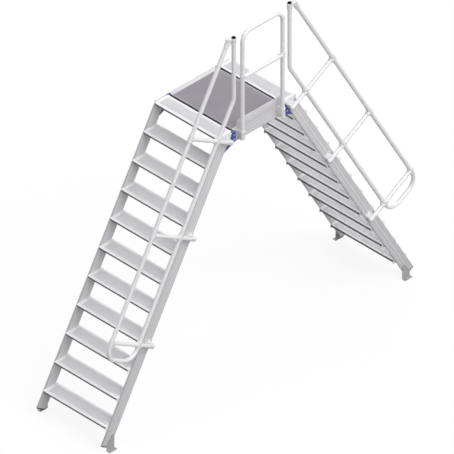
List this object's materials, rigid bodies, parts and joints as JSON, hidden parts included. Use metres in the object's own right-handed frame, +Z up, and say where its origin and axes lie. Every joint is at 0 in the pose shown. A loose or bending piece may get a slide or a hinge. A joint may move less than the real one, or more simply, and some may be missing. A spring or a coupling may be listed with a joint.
{
  "type": "crossover platform",
  "caption": "Free-standing crossover platform: steep open-tread flights rise from both sides to a small deck with a guard hoop and looped tube handrails on one side.",
  "frame": {"origin": "on the floor, under the middle of the platform, midway between the stiles of both flights", "axes": "+X along the walking direction to the right flight, +Y across it to the side with no rails, +Z up"},
  "size_m": [4.0294, 0.9853, 3.8806],
  "materials": {
    "stile": "mill finish aluminium section, lightly grooved",
    "end_cap": "matt black moulded plug",
    "foot": "plain sawn angle",
    "frame": "mill finish",
    "deck": "ribbed walking surface, dull",
    "connector": "blue coated casting",
    "toe_board": "mill finish",
    "tube": "anodised tube",
    "fitting": "cast clamp, fine grain",
    "tread": "ribbed walking surface"
  },
  "bodies": {
    "root": {"left_stile_rail_side": "stile", "left_stile_open_side": "stile", "right_stile_rail_side": "stile", "right_stile_open_side": "stile", "platform_side_beams": "stile", "stile_end_caps": "end_cap", "handrail_post_caps": "end_cap", "feet": "foot", "platform_frame": "frame", "platform_deck": "deck", "platform_connectors": "connector", "toe_board": "toe_board", "guard_hoop": "tube", "guard_knee_rail": "tube", "left_handrail_post": "tube", "left_handrail_loop": "tube", "left_handrail_struts": "tube", "right_handrail_post": "tube", "right_handrail_loop": "tube", "right_handrail_struts": "tube", "guard_brackets": "fitting", "left_handrail_fittings": "fitting", "right_handrail_fittings": "fitting", "left_tread_1": "tread", "left_tread_2": "tread", "left_tread_3": "tread", "left_tread_4": "tread", "left_tread_5": "tread", "left_tread_6": "tread", "left_tread_7": "tread", "left_tread_8": "tread", "left_tread_9": "tread", "left_tread_10": "tread", "left_tread_11": "tread", "right_tread_1": "tread", "right_tread_2": "tread", "right_tread_3": "tread", "right_tread_4": "tread", "right_tread_5": "tread", "right_tread_6": "tread", "right_tread_7": "tread", "right_tread_8": "tread", "right_tread_9": "tread", "right_tread_10": "tread", "right_tread_11": "tread"}
  },
  "joints": []
}
